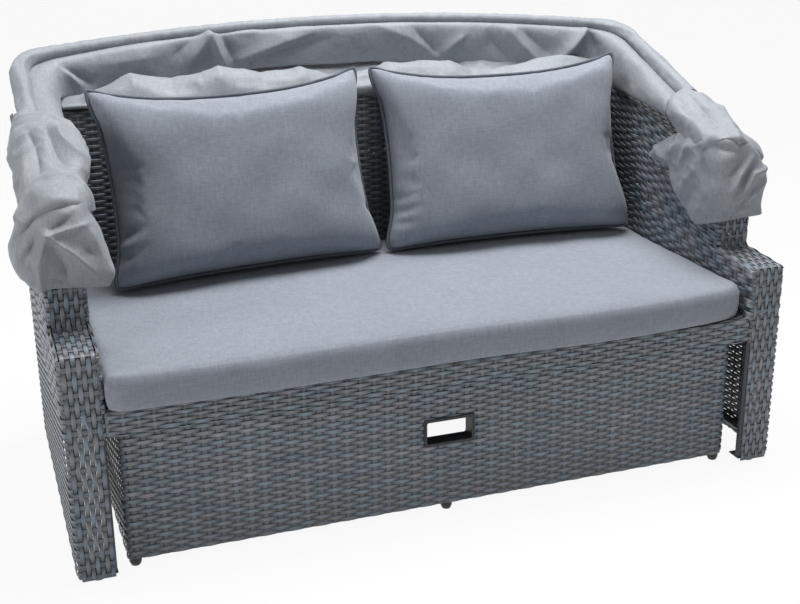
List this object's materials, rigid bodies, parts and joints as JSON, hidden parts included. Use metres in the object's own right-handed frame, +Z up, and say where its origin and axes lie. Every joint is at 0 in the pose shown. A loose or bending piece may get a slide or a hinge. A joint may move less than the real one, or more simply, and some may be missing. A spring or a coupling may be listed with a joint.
{
  "type": "outdoor daybed with canopy",
  "caption": "Woven outdoor daybed sofa with stepped slab arms, folding cloth canopy on bent tube bows, seat cushion, back pillows and a slide-out footstool.",
  "frame": {"origin": "middle of the base at floor level: the centre of the bounding box in X and Y, with Z zero under the glides", "axes": "+X towards the arm on the right of someone who looks at the front, +Y towards the back, +Z up"},
  "size_m": [1.5374, 0.8572, 0.9169],
  "materials": {
    "weave": "woven flat synthetic strands in mottled slate grey, low sheen",
    "frame_steel": "dark grey powder coat",
    "bow_steel": "dark grey powder coat",
    "black_plastic": "moulded, matt",
    "fastener": "zinc plated",
    "canopy_cloth": "light grey woven polyester, slight sheen",
    "cushion_cloth": "heathered blue-grey polyester, matt"
  },
  "bodies": {
    "sofa": {"right_arm_frame": "frame_steel", "left_arm_frame": "frame_steel", "right_arm_edge_weave": "weave", "left_arm_edge_weave": "weave", "right_arm_outer_weave": "weave", "left_arm_outer_weave": "weave", "right_arm_inner_weave": "weave", "left_arm_inner_weave": "weave", "back_frame": "frame_steel", "back_weave": "weave", "seat_frame": "frame_steel", "seat_apron_frame": "frame_steel", "seat_weave": "weave", "right_front_seat_bolt": "fastener", "left_front_seat_bolt": "fastener", "right_rear_seat_bolt": "fastener", "left_rear_seat_bolt": "fastener", "right_front_glide": "black_plastic", "left_front_glide": "black_plastic", "right_rear_glide": "black_plastic", "left_rear_glide": "black_plastic", "right_canopy_bracket": "bow_steel", "left_canopy_bracket": "bow_steel", "right_canopy_pivot_bolt": "fastener", "left_canopy_pivot_bolt": "fastener", "right_outer_pivot_spacer": "black_plastic", "left_outer_pivot_spacer": "black_plastic", "right_inner_pivot_spacer": "black_plastic", "left_inner_pivot_spacer": "black_plastic", "right_canopy_end_drape": "canopy_cloth", "left_canopy_end_drape": "canopy_cloth", "seat_cushion": "cushion_cloth", "left_pillow": "cushion_cloth", "right_pillow": "cushion_cloth"},
    "footstool": {"footstool_frame": "frame_steel", "footstool_front_weave": "weave", "footstool_side_weave": "weave", "footstool_deck_weave": "weave", "footstool_handle_liner": "black_plastic", "footstool_front_left_glide": "black_plastic", "footstool_front_middle_glide": "black_plastic", "footstool_front_right_glide": "black_plastic", "footstool_rear_left_glide": "black_plastic", "footstool_rear_middle_glide": "black_plastic", "footstool_rear_right_glide": "black_plastic"},
    "rear_bow": {"canopy_rear_bow": "bow_steel", "canopy_rear_panel": "canopy_cloth"},
    "middle_bow": {"canopy_middle_bow": "bow_steel", "canopy_middle_panel": "canopy_cloth"},
    "front_bow": {"canopy_front_bow": "bow_steel", "canopy_front_sleeve": "canopy_cloth", "canopy_front_panel": "canopy_cloth"}
  },
  "joints": [
    {"name": "footstool_slide", "type": "slide", "parent": "sofa", "child": "footstool", "axis": [0, -1, 0], "range_m": [0, 0.63]},
    {"name": "rear_bow_hinge", "type": "hinge", "parent": "sofa", "child": "rear_bow", "pos_m": [0, -0.25315, 0.672], "axis": [1, 0, 0], "range_deg": [0, 34.5], "deforming": ["canopy_rear_panel", "right_canopy_end_drape", "left_canopy_end_drape"]},
    {"name": "middle_bow_hinge", "type": "hinge", "parent": "rear_bow", "child": "middle_bow", "pos_m": [0, -0.25315, 0.672], "axis": [1, 0, 0], "range_deg": [0, 34.5], "deforming": ["canopy_middle_panel"]},
    {"name": "front_bow_hinge", "type": "hinge", "parent": "middle_bow", "child": "front_bow", "pos_m": [0, -0.25315, 0.672], "axis": [1, 0, 0], "range_deg": [0, 34.5], "deforming": ["canopy_front_panel"]}
  ],
  "couplings": [
    {"joint": "middle_bow_hinge", "follows": "rear_bow_hinge", "ratio": 1},
    {"joint": "front_bow_hinge", "follows": "rear_bow_hinge", "ratio": 1}
  ]
}
